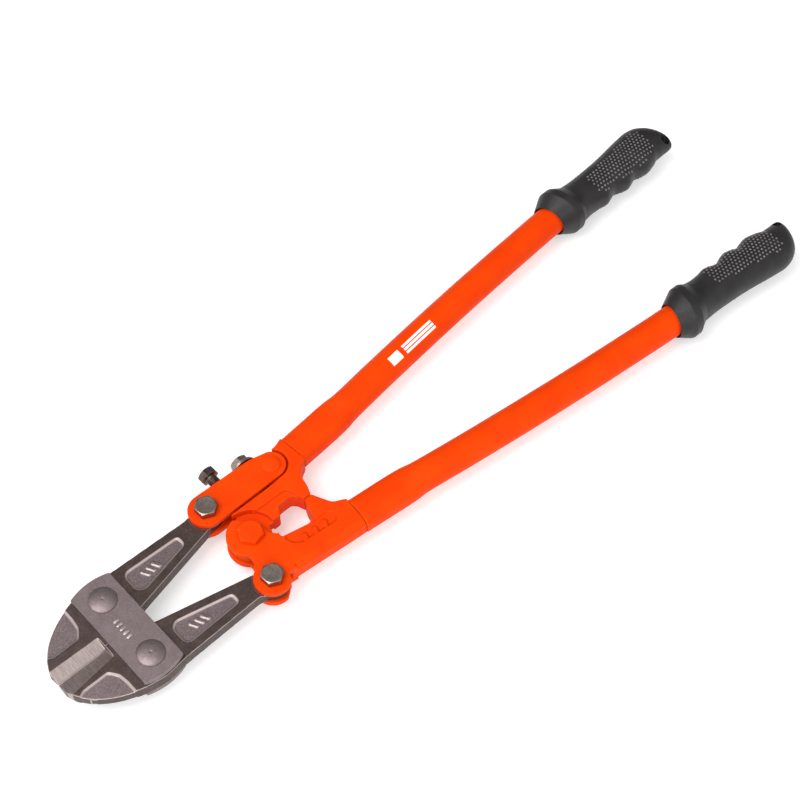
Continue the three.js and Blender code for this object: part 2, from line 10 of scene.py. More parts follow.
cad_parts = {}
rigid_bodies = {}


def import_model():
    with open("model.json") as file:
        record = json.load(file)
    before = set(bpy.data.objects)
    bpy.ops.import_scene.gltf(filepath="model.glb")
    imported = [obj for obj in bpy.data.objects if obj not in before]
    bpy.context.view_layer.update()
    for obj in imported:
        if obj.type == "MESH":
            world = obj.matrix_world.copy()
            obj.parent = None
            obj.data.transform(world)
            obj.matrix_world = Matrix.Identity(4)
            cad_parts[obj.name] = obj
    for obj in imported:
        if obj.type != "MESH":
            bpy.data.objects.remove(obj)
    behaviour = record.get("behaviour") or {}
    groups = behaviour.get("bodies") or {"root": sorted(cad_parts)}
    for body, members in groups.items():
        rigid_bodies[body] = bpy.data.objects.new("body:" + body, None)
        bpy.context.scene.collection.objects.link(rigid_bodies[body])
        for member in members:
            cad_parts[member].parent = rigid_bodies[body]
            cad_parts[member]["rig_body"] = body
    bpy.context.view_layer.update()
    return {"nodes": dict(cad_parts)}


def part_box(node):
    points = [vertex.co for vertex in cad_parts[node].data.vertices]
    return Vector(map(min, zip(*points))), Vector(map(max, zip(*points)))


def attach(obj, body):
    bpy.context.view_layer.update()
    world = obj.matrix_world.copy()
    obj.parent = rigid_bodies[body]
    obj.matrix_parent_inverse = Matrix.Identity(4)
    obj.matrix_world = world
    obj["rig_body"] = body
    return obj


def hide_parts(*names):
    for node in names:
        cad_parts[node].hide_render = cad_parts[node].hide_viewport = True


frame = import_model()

# Shapes are drawn in millimetres: x from the jaw tips, y from the middle line between the handles,
# z from the middle plane of the jaws.
MM = 0.001
jaw_low, jaw_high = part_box("upper_jaw")
ORIGIN = Vector((jaw_low.x, 0, (jaw_low.z + jaw_high.z) / 2))

LENGTH = 608
JAW_PIVOT = (54.5, 25)
JAW_JOINT = (145.5, 34)
CENTRE = (155, 0)
LINK_PIVOT = (199, 32.5)
PLATE_FACE = 9.1  # outer faces of the side plates
FORK_FACE = 7.9  # outer faces of the castings and the link
JAW_FACE = 4.6
HEAD_SEAT = 8.0  # where the linkage bolts' heads sit
LOWEST = -18.2  # what the tool lies on
GAP = 0.3  # between a tube and its grip
BEYOND = 20  # further out than any face, for a tool that cuts right through
WELD = 1e-6  # metres


def to_frame(points):
    """Millimetre points as metres in the CAD frame."""
    return np.asarray(points, float) * MM + np.array(ORIGIN)


# ---------------------------------------------------------------- meshes


def link_object(name, mesh):
    made = bpy.data.objects.new(name, mesh)
    bpy.context.scene.collection.objects.link(made)
    return made


def piece(name, points, faces):
    """A closed mesh from millimetre points, with its faces turned outwards."""
    mesh = bpy.data.meshes.new(name)
    mesh.from_pydata(to_frame(points).tolist(), [], [list(f) for f in faces])
    work = bmesh.new()
    work.from_mesh(mesh)
    bmesh.ops.recalc_face_normals(work, faces=work.faces)
    work.to_mesh(mesh)
    work.free()
    return link_object(name, mesh)


def loft(rings, closed=False):
    """Rings of points joined into a skin: capped at both ends, or closed on itself."""
    rings = [np.asarray(r, float) for r in rings]
    count = len(rings[0])
    points = np.vstack(rings)
    total = len(rings)
    faces = []
    for i in range(total if closed else total - 1):
        a, b = i * count, (i + 1) % total * count
        for j in range(count):
            k = (j + 1) % count
            faces.append((a + j, a + k, b + k, b + j))
    if not closed:
        points = np.vstack([points, rings[0].mean(0), rings[-1].mean(0)])
        last = (total - 1) * count
        for j in range(count):
            k = (j + 1) % count
            faces.append((total * count, k, j))
            faces.append((total * count + 1, last + j, last + k))
    return points, faces


def joined(*solids):
    """Several (points, faces) solids as one."""
    points, faces = [], []
    start = 0
    for these, around in solids:
        points.append(these)
        faces += [tuple(i + start for i in f) for f in around]
        start += len(these)
    return np.vstack(points), faces


def apply_modifiers(thing):
    graph = bpy.context.evaluated_depsgraph_get()
    made = bpy.data.meshes.new_from_object(thing.evaluated_get(graph))
    old = thing.data
    thing.modifiers.clear()
    thing.data = made
    bpy.data.meshes.remove(old)


def bevelled(thing, width, segments=2, angle=35):
    """Rounds the sharp edges, and shades the flat faces between them flat."""
    thing.data.shade_smooth()
    bevel = thing.modifiers.new("edges", "BEVEL")
    bevel.width = width * MM
    bevel.segments = segments
    bevel.limit_method = "ANGLE"
    bevel.angle_limit = math.radians(angle)
    weighted = thing.modifiers.new("shading", "WEIGHTED_NORMAL")
    weighted.weight = 100
    apply_modifiers(thing)


def cut(thing, tool):
    """Takes the tool's shape out of the piece."""
    knife = thing.modifiers.new("cut", "BOOLEAN")
    knife.operation = "DIFFERENCE"
    knife.solver = "EXACT"
    knife.object = tool
    apply_modifiers(thing)
    bpy.data.objects.remove(tool)


def add(thing, extra):
    """Puts the extra piece's mesh into the first piece's."""
    work = bmesh.new()
    work.from_mesh(thing.data)
    work.from_mesh(extra.data)
    work.to_mesh(thing.data)
    work.free()
    bpy.data.objects.remove(extra)


def show(thing, node, finishes, angle=35):
    """The piece stands for a CAD node, moves with its body and has its finishes.
    Edges sharper than `angle` stay sharp; an angle of 0 keeps the shading the piece has."""
    for finish in finishes:
        thing.data.materials.append(finish)
    if angle:
        thing.data.shade_smooth()
        thing.data.set_sharp_from_angle(angle=math.radians(angle))
    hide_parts(node)
    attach(thing, frame["nodes"][node]["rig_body"])


def centres(thing):
    """The millimetre centre and the normal of each face."""
    count = len(thing.data.polygons)
    middle = np.empty(count * 3)
    normal = np.empty(count * 3)
    thing.data.polygons.foreach_get("center", middle)
    thing.data.polygons.foreach_get("normal", normal)
    return (middle.reshape(-1, 3) - np.array(ORIGIN)) / MM, normal.reshape(-1, 3)


def use_finish(thing, chosen, index):
    """Gives the chosen faces the finish of that index."""
    now = np.zeros(len(thing.data.polygons), np.int32)
    thing.data.polygons.foreach_get("material_index", now)
    now[chosen] = index
    thing.data.polygons.foreach_set("material_index", now)


# ---------------------------------------------------------------- materials


class Nodes:
    """A material's node tree, built in plain steps."""

    def __init__(self, name):
        self.material = bpy.data.materials.new(name)
        self.material.use_nodes = True
        self.tree = self.material.node_tree
        self.tree.nodes.clear()
        self.output = self.tree.nodes.new("ShaderNodeOutputMaterial")
        self.shader = self.tree.nodes.new("ShaderNodeBsdfPrincipled")
        self.tree.links.new(self.shader.outputs[0], self.output.inputs[0])
        self.place = self.tree.nodes.new("ShaderNodeTexCoord").outputs["Object"]

    def link(self, source, target):
        self.tree.links.new(source, target)

    def stretched(self, scale):
        """Places whose axes are scaled one by one, for a texture that is longer one way."""
        node = self.tree.nodes.new("ShaderNodeMapping")
        self.link(self.place, node.inputs["Vector"])
        node.inputs["Scale"].default_value = scale
        return node.outputs[0]

    def noise(self, size, detail=3, roughness=0.55, vector=None):
        """Noise whose features are `size` millimetres wide."""
        node = self.tree.nodes.new("ShaderNodeTexNoise")
        self.link(vector or self.place, node.inputs["Vector"])
        node.inputs["Scale"].default_value = 1 / (size * MM)
        node.inputs["Detail"].default_value = detail
        node.inputs["Roughness"].default_value = roughness
        return node.outputs["Fac"]

    def cells(self, size):
        """Distance to the nearest point of a scatter, the points about `size` millimetres apart."""
        node = self.tree.nodes.new("ShaderNodeTexVoronoi")
        self.link(self.place, node.inputs["Vector"])
        node.inputs["Scale"].default_value = 1 / (size * MM)
        return node.outputs["Distance"]

    def level(self):
        """One on faces that lie flat, zero on those that stand upright."""
        normal = self.tree.nodes.new("ShaderNodeTexCoord").outputs["Normal"]
        parts = self.tree.nodes.new("ShaderNodeSeparateXYZ")
        self.link(normal, parts.inputs[0])
        return self.math("ABSOLUTE", parts.outputs["Z"], 0)

    def edges(self):
        """Over a half on sharp outer edges, under a half in creases."""
        return self.tree.nodes.new("ShaderNodeNewGeometry").outputs["Pointiness"]

    def between(self, value, low, high, to_low=0.0, to_high=1.0):
        """The value's place between low and high, as a number from to_low to to_high."""
        node = self.tree.nodes.new("ShaderNodeMapRange")
        self.link(value, node.inputs["Value"])
        node.inputs["From Min"].default_value = low
        node.inputs["From Max"].default_value = high
        node.inputs["To Min"].default_value = to_low
        node.inputs["To Max"].default_value = to_high
        return node.outputs[0]

    def math(self, operation, a, b):
        node = self.tree.nodes.new("ShaderNodeMath")
        node.operation = operation
        for value, socket in ((a, node.inputs[0]), (b, node.inputs[1])):
            if isinstance(value, (int, float)):
                socket.default_value = value
            else:
                self.link(value, socket)
        return node.outputs[0]

    def mixed(self, factor, a, b):
        node = self.tree.nodes.new("ShaderNodeMix")
        node.data_type = "RGBA"
        self.link(factor, node.inputs["Factor"])
        for value, socket in ((a, node.inputs["A"]), (b, node.inputs["B"])):
            if isinstance(value, tuple):
                socket.default_value = (*value, 1)
            else:
                self.link(value, socket)
        return node.outputs["Result"]

    def height(self):
        """Distance from the middle plane, in millimetres."""
        split = self.tree.nodes.new("ShaderNodeSeparateXYZ")
        self.link(self.place, split.inputs[0])
        above = self.math("SUBTRACT", split.outputs["Z"], ORIGIN.z)
        return self.math("DIVIDE", self.math("ABSOLUTE", above, 0), MM)

    def bump(self, *layers):
        """Layers of (height socket, depth in millimetres), stacked."""
        below = None
        for value, depth in layers:
            node = self.tree.nodes.new("ShaderNodeBump")
            node.inputs["Strength"].default_value = 1
            node.inputs["Distance"].default_value = depth * MM
            self.link(value, node.inputs["Height"])
            if below is not None:
                self.link(below, node.inputs["Normal"])
            below = node.outputs[0]
        self.link(below, self.shader.inputs["Normal"])

    def colour(self, socket):
        self.link(socket, self.shader.inputs["Base Color"])

    def rough(self, socket):
        self.link(socket, self.shader.inputs["Roughness"])

    def constant(self, **values):
        """Sets sockets by name: specular_ior_level is the one called Specular IOR Level."""
        for name, number in values.items():
            socket = name.replace("_", " ").title().replace("Ior", "IOR")
            self.shader.inputs[socket].default_value = number


def srgb(red, green, blue):
    """An sRGB colour, 0 to 255, as linear light."""

    def linear(value):
        value /= 255
        return value / 12.92 if value <= 0.04045 else ((value + 0.055) / 1.055) ** 2.4

    return (linear(red), linear(green), linear(blue))


def orange_paint(name, grain, depth):
    """Powder coat with an orange-peel skin, with painted shade and a little dirt in its creases, and
    lighter on sharp edges, where the paint is thin and a painted highlight sits.
    `grain` is the width of the texture below it and `depth` its depth, in millimetres."""
    n = Nodes(name)
    patches = n.between(n.noise(22, 4), 0.35, 0.65)
    coat = n.mixed(patches, srgb(218, 56, 0), srgb(223, 64, 0))
    # Painted shade, with a little dirt: the creases darken towards deep red.
    crease = n.between(n.edges(), 0.44, 0.49, 1, 0)
    coat = n.mixed(crease, coat, srgb(150, 22, 0))
    # Sharp edges turn lighter: paint worn thin there, and partly a painted highlight.
    edge = n.between(n.edges(), 0.53, 0.6, 0, 0.6)
    n.colour(n.mixed(edge, coat, srgb(238, 92, 18)))
    n.rough(n.between(n.noise(9, 5), 0.3, 0.7, 0.42, 0.56))
    n.bump((n.noise(grain, 2), depth), (n.noise(0.45, 2), 0.012))
    n.constant(specular_ior_level=0.06)
    return n.material


PANEL_EDGE = (4.0, 4.4)  # the heights between which a sunk panel gives way to the face around it
UPRIGHT = (0.35, 0.6)  # how level a face is: under this range it is a wall
LEVEL = (0.9, 0.97)  # and over this range it is a flat; between the two it is a slope


def forged_steel():
    """Shot-blasted forging: brown on its faces and walls, greyer in the sunk panels, with a painted
    highlight on the slopes around them, and bright on its edges."""
    n = Nodes("forged_steel")
    level = n.level()
    wall = n.between(level, *UPRIGHT, 1, 0)
    flat = n.math("MAXIMUM", n.between(n.height(), *PANEL_EDGE), wall)
    # The slopes get a painted highlight: a bright colour chosen by how the face tilts.
    slope = n.math("MULTIPLY", n.between(level, *LEVEL, 1, 0), n.between(level, *UPRIGHT))
    grain = n.between(n.noise(1.1, 4, 0.75), 0.32, 0.68)
    blotch = n.between(n.noise(7, 5, 0.6), 0.3, 0.7)
    panel = n.mixed(grain, srgb(88, 75, 77), srgb(132, 118, 119))
    brown = n.mixed(grain, srgb(56, 44, 42), srgb(76, 63, 59))
    worn = n.mixed(blotch, brown, n.mixed(grain, srgb(68, 56, 53), srgb(92, 79, 75)))
    # The bright colour here is the painted highlight on the slopes.
    steel = n.mixed(slope, n.mixed(flat, panel, worn), srgb(178, 164, 161))
    edge = n.between(n.edges(), 0.515, 0.56)
    n.colour(n.mixed(edge, steel, srgb(164, 150, 146)))
    n.rough(n.between(n.noise(1.4, 4), 0.3, 0.7, 0.36, 0.56))
    n.bump((n.noise(2.6, 3), 0.08), (n.noise(0.7, 3, 0.7), 0.07), (n.cells(0.9), 0.03))
    n.constant(metallic=0.8)
    return n.material


def ground_steel():
    """Steel with the fine lines of the grinding wheel running across the blade."""
    n = Nodes("ground_steel")
    across = n.stretched((1, 0.04, 0.04))
    lines = n.noise(0.25, 3, 0.7, across)
    cloud = n.between(n.noise(2.5, 4, 0.6), 0.3, 0.7)
    dark, light = srgb(134, 119, 116), srgb(186, 172, 168)
    streaks = n.mixed(n.between(lines, 0.3, 0.7), dark, light)
    n.colour(n.mixed(cloud, streaks, n.mixed(n.between(lines, 0.35, 0.6), dark, light)))
    n.rough(n.between(lines, 0.3, 0.7, 0.36, 0.5))
    n.bump((lines, 0.012))
    n.constant(metallic=1)
    return n.material


def plate_steel():
    """Flat plate with a satin surface and a few fine scratches."""
    n = Nodes("plate_steel")
    grain = n.between(n.noise(0.9, 4, 0.75), 0.3, 0.7)
    cloud = n.between(n.noise(9, 5, 0.6), 0.3, 0.7)
    base = n.mixed(grain, srgb(112, 99, 100), srgb(140, 126, 126))
    n.colour(n.mixed(cloud, base, n.mixed(grain, srgb(102, 89, 90), srgb(130, 116, 116))))
    scratch = n.between(n.noise(0.3, 2, 0.5, n.stretched((0.05, 1, 1))), 0.62, 0.72)
    n.rough(n.between(n.noise(1.2, 4), 0.3, 0.7, 0.34, 0.5))
    n.bump((n.noise(0.7, 3, 0.7), 0.05), (scratch, -0.015))
    n.constant(metallic=0.8)
    return n.material


def worn_edge():
    """Steel rubbed bright, on the edges of the plates and on their raised bars."""
    n = Nodes("worn_edge")
    cloud = n.between(n.noise(1.5, 4), 0.35, 0.65)
    n.colour(n.mixed(cloud, srgb(150, 136, 134), srgb(214, 203, 200)))
    n.rough(n.between(n.noise(0.8, 3), 0.3, 0.7, 0.28, 0.42))
    n.bump((n.noise(0.5, 3), 0.02))
    n.constant(metallic=0.9)
    return n.material


def zinc_steel():
    """Dark zinc on turned and cold-headed steel."""
    n = Nodes("zinc_steel")
    cloud = n.between(n.noise(2.5, 4, 0.5), 0.3, 0.7)
    n.colour(n.mixed(cloud, srgb(136, 124, 116), srgb(154, 142, 134)))
    n.rough(n.between(n.noise(1.2, 3), 0.3, 0.7, 0.24, 0.36))
    n.bump((n.noise(0.6, 2, 0.5), 0.006))
    n.constant(metallic=1)
    return n.material


def oiled_and_shaded_steel():
    """Darker zinc, with old oil on it and painted shade for the thread's grooves, on the adjusting
    screws.
    """
    n = Nodes("oiled_and_shaded_steel")
    cloud = n.between(n.noise(1.8, 4, 0.55), 0.3, 0.7)
    n.colour(n.mixed(cloud, srgb(82, 70, 64), srgb(124, 111, 104)))
    n.rough(n.between(n.noise(0.9, 3), 0.3, 0.7, 0.26, 0.42))
    n.bump((n.noise(0.6, 2, 0.5), 0.008))
    n.constant(metallic=1)
    return n.material


def grip_rubber():
    """Moulded black rubber with a fine eroded skin."""
    n = Nodes("grip_rubber")
    bloom = n.between(n.noise(12, 5, 0.6), 0.35, 0.7)
    n.colour(n.mixed(bloom, srgb(28, 26, 27), srgb(40, 38, 39)))
    n.rough(n.between(n.noise(1.1, 4), 0.3, 0.7, 0.38, 0.54))
    n.bump((n.noise(0.4, 3, 0.7), 0.035), (n.noise(3, 3), 0.05))
    n.constant(specular_ior_level=0.3)
    return n.material


def worn_rubber_with_painted_glint():
    """The raised dots, lighter all over: rubbed tops, and a painted glint."""
    n = Nodes("worn_rubber_with_painted_glint")
    bloom = n.between(n.noise(5, 3), 0.3, 0.7)
    n.colour(n.mixed(bloom, srgb(80, 77, 77), srgb(122, 118, 118)))
    n.rough(n.between(n.noise(1.1, 4), 0.3, 0.7, 0.3, 0.44))
    return n.material


def white_print():
    """Thick white ink."""
    n = Nodes("white_print")
    cloud = n.between(n.noise(3, 4), 0.3, 0.7)
    n.colour(n.mixed(cloud, srgb(238, 236, 230), srgb(252, 250, 246)))
    n.rough(n.between(n.noise(0.8, 3), 0.3, 0.7, 0.4, 0.55))
    return n.material


TUBE_PAINT = orange_paint("tube_paint", 1.6, 0.03)
CAST_PAINT = orange_paint("cast_paint", 1.2, 0.09)
FORGED = forged_steel()
GROUND = ground_steel()
PLATE = plate_steel()
WORN_EDGE = worn_edge()
ZINC = zinc_steel()
OILED_AND_SHADED = oiled_and_shaded_steel()
RUBBER = grip_rubber()
WORN_RUBBER_WITH_GLINT = worn_rubber_with_painted_glint()
PRINT = white_print()


# ---------------------------------------------------------------- forgings and castings


def block(middle, length, width, low, high, angle):
    """A bar with round ends, standing on a face: its middle, size, heights and direction."""
    turn = math.radians(angle)
    along = np.array([math.cos(turn), math.sin(turn)])
    side = np.array([-along[1], along[0]])
    reach = (length - width) / 2
    radius = width / 2
    outline = []
    for end in (1, -1):
        for bend in np.radians(np.linspace(-90, 90, 9)):
            at = end * (along * (reach + radius * math.cos(bend)) + side * radius * math.sin(bend))
            outline.append(np.array(middle) + at)
    return loft([np.array([[x, y, z] for x, y in outline]) for z in (low, high)])


def both_faces(middle, length, width, low, high, angle):
    """The same bar on the upper and on the lower face."""
    return joined(
        block(middle, length, width, low, high, angle),
        block(middle, length, width, -high, -low, angle),
    )


def softened(node, voxel, rounds, marks=(), crisp=None):
    """A forging or casting: the CAD solid and its raised marks, with every edge rounded. `voxel` is
    the mesh's step in millimetres, and `crisp` says how much of the rounding each point gets."""
    source = frame["nodes"][node]
    thing = link_object(node + "_detail", source.data.copy())
    thing.data.materials.clear()
    if marks:
        add(thing, piece("marks", *joined(*marks)))
    work = bmesh.new()
    work.from_mesh(thing.data)
    bmesh.ops.remove_doubles(work, verts=work.verts, dist=WELD)
    work.to_mesh(thing.data)
    work.free()
    remesh = thing.modifiers.new("skin", "REMESH")
    remesh.mode = "VOXEL"
    remesh.voxel_size = voxel * MM
    apply_modifiers(thing)
    smooth = thing.modifiers.new("round", "SMOOTH")
    smooth.iterations = rounds
    smooth.factor = 0.5
    if crisp is not None:
        co = np.empty(len(thing.data.vertices) * 3)
        thing.data.vertices.foreach_get("co", co)
        weight = crisp((co.reshape(-1, 3) - np.array(ORIGIN)) / MM)
        group = thing.vertex_groups.new(name="round")
        for value in np.unique(weight):
            chosen = np.nonzero(weight == value)[0].tolist()
            group.add(chosen, float(value), "REPLACE")
        smooth.vertex_group = "round"
    apply_modifiers(thing)
    thing.vertex_groups.clear()
    return thing


BLADE_LENGTH = 37
UPPER_BEVEL = (9, 8.3)  # the ground strip's width at the tip and at the blade's root
LOWER_BEVEL = (13.2, 9.3)
BLADE_ZONE = (39, 11)  # x and y within which the blade keeps its edges
NOSE_END = 72
BLADE_SHARE, NOSE_SHARE = 0.12, 0.6  # of the rounding that the jaw's shank gets
GROUND_SPARE = 0.2  # how far the ground strip's faces may lie outside its outline
GROUND_START = 0.4  # x
GROUND_DEPTH = 0.12  # below the jaw's face
GROUND_TILT = 0.15  # of a face's normal, towards the other jaw

RIB_XS = (88, 92.5, 97)
RIB_LINE = (25.2, 0.05, 90)  # y at x = 90, and how it rises with x
RIB_SIZE = (6.4, 1.7)
RIB_HEIGHTS = (2.5, 4.1)
RIB_ANGLE = -62


def on_rib_line(x, side):
    y, rise, start = RIB_LINE
    return x, side * (y + rise * (x - start))


def crisp_jaw(points):
    """How much of the rounding each point of a jaw gets."""
    blade = (points[:, 0] < BLADE_ZONE[0]) & (np.abs(points[:, 1]) < BLADE_ZONE[1])
    nose = points[:, 0] < NOSE_END
    return np.where(blade, BLADE_SHARE, np.where(nose, NOSE_SHARE, 1.0))


def jaw(node, side, bevel):
    """A jaw with its ground blade, raised ribs in the long pocket and rounded forging edges."""
    ribs = [both_faces(on_rib_line(x, side), *RIB_SIZE, *RIB_HEIGHTS, RIB_ANGLE) for x in RIB_XS]
    thing = softened(node, voxel=0.36, rounds=6, marks=ribs, crisp=crisp_jaw)
    spots, normals = centres(thing)
    x, y, z = spots[:, 0], np.abs(spots[:, 1]), np.abs(spots[:, 2])
    wide = bevel[0] + (bevel[1] - bevel[0]) * np.clip(x / BLADE_LENGTH, 0, 1)
    ground = (x > GROUND_START) & (x < BLADE_LENGTH + GROUND_SPARE) & (y < wide + GROUND_SPARE)
    ground &= (z < JAW_FACE - GROUND_DEPTH) & (np.abs(normals[:, 1]) > GROUND_TILT)
    show(thing, node, [FORGED, GROUND], angle=60)
    use_finish(thing, ground, 1)


OVALS = ((180.5, -25), (188.5, -25.7), (196.5, -25.7))
OVAL_SIZE = (6.4, 3.4)
OVAL_HEIGHTS = (5.6, 7.5)
OVAL_ANGLE = 68


def castings():
    """The two handle castings, the lower one with its raised ovals, and the adjusting link."""
    ovals = [both_faces(at, *OVAL_SIZE, *OVAL_HEIGHTS, OVAL_ANGLE) for at in OVALS]
    for node, voxel, rounds, marks in (
        ("lower_handle_casting", 0.4, 7, ovals),
        ("upper_handle_casting", 0.4, 7, ()),
        ("adjusting_link", 0.38, 5, ()),
    ):
        thing = softened(node, voxel, rounds, marks)
        show(thing, node, [CAST_PAINT], angle=60)


# ---------------------------------------------------------------- side plates

PLATE_X = (39, 69.5)
PLATE_CORNER_Y = 38.4
PLATE_END_R = 42.9  # of the plate's two bowed ends
PLATE_FACES = (4.9, PLATE_FACE)
PLATE_HOLE_R = 7.3
BAR_SIZE = (4.4, 1.7)
BAR_OFF_MIDDLE = -2.5
BAR_ROWS = (-7, -3.5, 0, 3.5, 7)
BAR_FOOT, BAR_RISE = 0.3, 0.5  # how far a raised bar reaches into the plate, and out of it


def round_bar(x, y, radius, sides=64):
    """A bar that reaches beyond the tool on both sides."""
    turn = np.linspace(0, 2 * math.pi, sides, endpoint=False)
    circle = np.stack([x + radius * np.cos(turn), y + radius * np.sin(turn), 0 * turn], 1)
    return loft([circle - (0, 0, BEYOND), circle + (0, 0, BEYOND)])


def side_plate(node, sign):
    """A side plate with its rubbed edges. The upper one carries a row of raised bars."""
    middle = sum(PLATE_X) / 2
    half = (PLATE_X[1] - PLATE_X[0]) / 2
    drop = PLATE_CORNER_Y - math.sqrt(PLATE_END_R**2 - half**2)
    span = math.asin(half / PLATE_END_R)
    bend = np.linspace(-span, span, 40)
    upper = np.stack([middle + PLATE_END_R * np.sin(-bend), drop + PLATE_END_R * np.cos(bend)], 1)
    outline = np.vstack([upper, np.array([2 * middle, 0]) - upper])
    rings = [np.hstack([outline, np.full((len(outline), 1), sign * z)]) for z in PLATE_FACES]
    thing = piece(node + "_detail", *loft(rings))
    for side in (1, -1):
        hole = round_bar(JAW_PIVOT[0], side * JAW_PIVOT[1], PLATE_HOLE_R)
        cut(thing, piece("hole", *hole))
    if sign > 0:
        low, high = PLATE_FACE - BAR_FOOT, PLATE_FACE + BAR_RISE
        bars = [block((middle + BAR_OFF_MIDDLE, y), *BAR_SIZE, low, high, 0) for y in BAR_ROWS]
        add(thing, piece("bars", *joined(*bars)))
    bevelled(thing, width=0.45, segments=3, angle=40)
    spots, normals = centres(thing)
    lift = np.abs(normals[:, 2])
    on_bevel = (lift > 0.1) & (lift < 0.98)
    on_bar = spots[:, 2] > PLATE_FACE + BAR_RISE * 0.6
    rubbed = on_bevel | on_bar
    show(thing, node, [PLATE, WORN_EDGE], angle=0)
    use_finish(thing, np.nonzero(rubbed)[0], 1)


# ---------------------------------------------------------------- fasteners

ROUND, HEX = "round", "hex"
SIDES = 72
CHAMFER = math.tan(math.radians(30))
FLAT_SHARE = 0.97  # of half the flats, where the chamfer begins


def spin(profile, flats=0, turn=0, closed=False):
    """A turned body from rows. A round row is (ROUND, radius, z). A hex row is (HEX, slope, z): it
    follows the flats, and falls by the slope towards their corners."""
    angle = np.linspace(0, 2 * math.pi, SIDES, endpoint=False)
    local = np.mod(angle + math.pi / 6, math.pi / 3) - math.pi / 6
    hexed = flats / 2 / np.cos(local)
    world = angle + math.radians(turn)
    rings = []
    for kind, value, z in profile:
        if kind == HEX:
            reach = hexed
            z = z - value * (hexed - flats / 2 * FLAT_SHARE)
        else:
            reach = np.full(SIDES, float(value))
            z = np.full(SIDES, float(z))
        rings.append(np.stack([reach * np.cos(world), reach * np.sin(world), z], 1))
    return loft(rings, closed)


RINGS_PER_TURN = 7
CREST_WIDTH = 1.35  # over one, the thread's crest has a flat
TIP_TURNS, TIP_DEPTH = 0.9, 0.9  # the cone at a bolt's tip: turns long, millimetres deep


def thread(radius, low, high, pitch):
    """Rings of a screw thread from its tip at `low` up to `high`, running out at both ends."""
    angle = np.linspace(0, 2 * math.pi, SIDES, endpoint=False)
    depth = 0.5 * pitch
    rings = []
    for z in np.arange(low, high, pitch / RINGS_PER_TURN):
        phase = np.mod(z / pitch - angle / (2 * math.pi), 1)
        crest = 1 - np.abs(2 * phase - 1)
        fade = np.clip(min(z - low, high - z) / pitch, 0, 1)
        reach = radius - depth * (1 - np.clip(crest * CREST_WIDTH, 0, 1)) * fade
        reach -= np.clip(1 - (z - low) / (TIP_TURNS * pitch), 0, 1) * TIP_DEPTH
        rings.append(np.stack([reach * np.cos(angle), reach * np.sin(angle), z + 0 * angle], 1))
    return rings


def bolt_points(radius, pitch, flats, height, length, turn, threaded):
    """A hexagon bolt with the underside of its head at z = 0, threaded from its tip up."""
    shank = thread(radius, -length, -length + threaded, pitch)
    half = flats / 2
    profile = [
        (ROUND, radius, -0.4),
        (ROUND, flats * 0.475, 0),
        (ROUND, flats * 0.475, 0.25),
        (HEX, 0, 0.3),
        (HEX, CHAMFER, height),
        (ROUND, half * 0.95, height),
        (ROUND, half * 0.84, height - 0.02),
        (ROUND, half * 0.8, height - 0.08),
        (ROUND, half * 0.2, height - 0.1),
    ]
    head, _ = spin(profile, flats, turn)
    return loft(shank + np.split(head[: len(profile) * SIDES], len(profile)))


def nut_points(radius, flats, height, turn):
    """A hexagon nut standing on z = 0, chamfered on both faces and in its bore."""
    rim = flats / 2 * 0.95
    bore, mouth = radius + 0.15, radius + 0.75
    profile = [
        (ROUND, bore, 0.6),
        (ROUND, mouth, 0),
        (ROUND, rim, 0),
        (HEX, -CHAMFER, 0),
        (HEX, CHAMFER, height),
        (ROUND, rim, height),
        (ROUND, mouth, height),
        (ROUND, bore, height - 0.6),
    ]
    return spin(profile, flats, turn, closed=True)


SPLIT_GAP, SPLIT_SLANT = 9, 5  # degrees
WIRE_CORNER = 0.22


def split_ring(inner, outer, thickness):
    """A spring washer: a square wire ring with one slanting split, standing on z = 0."""
    c = WIRE_CORNER
    wire = [
        (inner, thickness - c),
        (inner + c, thickness),
        (outer - c, thickness),
        (outer, thickness - c),
        (outer, c),
        (outer - c, 0),
        (inner + c, 0),
        (inner, c),
    ]
    rings = []
    for step in np.linspace(SPLIT_GAP / 2, 360 - SPLIT_GAP / 2, 90):
        ring = []
        for r, z in wire:
            turn = math.radians(180 + step + SPLIT_SLANT * (z / thickness - 0.5) * 2)
            ring.append((r * math.cos(turn), r * math.sin(turn), z))
        rings.append(np.array(ring))
    return loft(rings)


def rivet_points(radius, head, face, dome):
    """A rivet through plates: a shallow dome with a crisp rim and a small dimple on each side.
    `head` is the dome's radius, `face` the plate's height and `dome` how far the dome stands out."""
    base = face + 0.1
    rim = 0.55
    half = [(radius, base), (head - 0.15, base), (head, base + 0.15), (head, base + rim)]
    top = face + dome
    for share in np.linspace(0.985, 0.1, 14):
        rise = (1 - share**2.4) ** 0.75
        half.append((head * share, base + rim + (top - base - rim) * rise))
    half.append((head * 0.06, top - 0.12))
    below = [(r, -z) for r, z in reversed(half)]
    return spin([(ROUND, r, z) for r, z in below + half])


def placed(solid, x, y, z=0.0, along_y=False):
    """Moves a fastener to its seat; one along y lies on its side first."""
    points, faces = solid
    if along_y:
        points = np.stack([points[:, 0], points[:, 2], -points[:, 1]], 1)
    return points + np.array([x, y, z]), faces


def fastener(node, finish, solid, edge=0.0, angle=30):
    """Shows a fastener in its place, with its edges rounded by `edge` millimetres."""
    thing = piece(node + "_detail", *solid)
    if edge:
        bevelled(thing, edge, 2, 22)
    show(thing, node, [finish], 0 if edge else angle)
    return thing


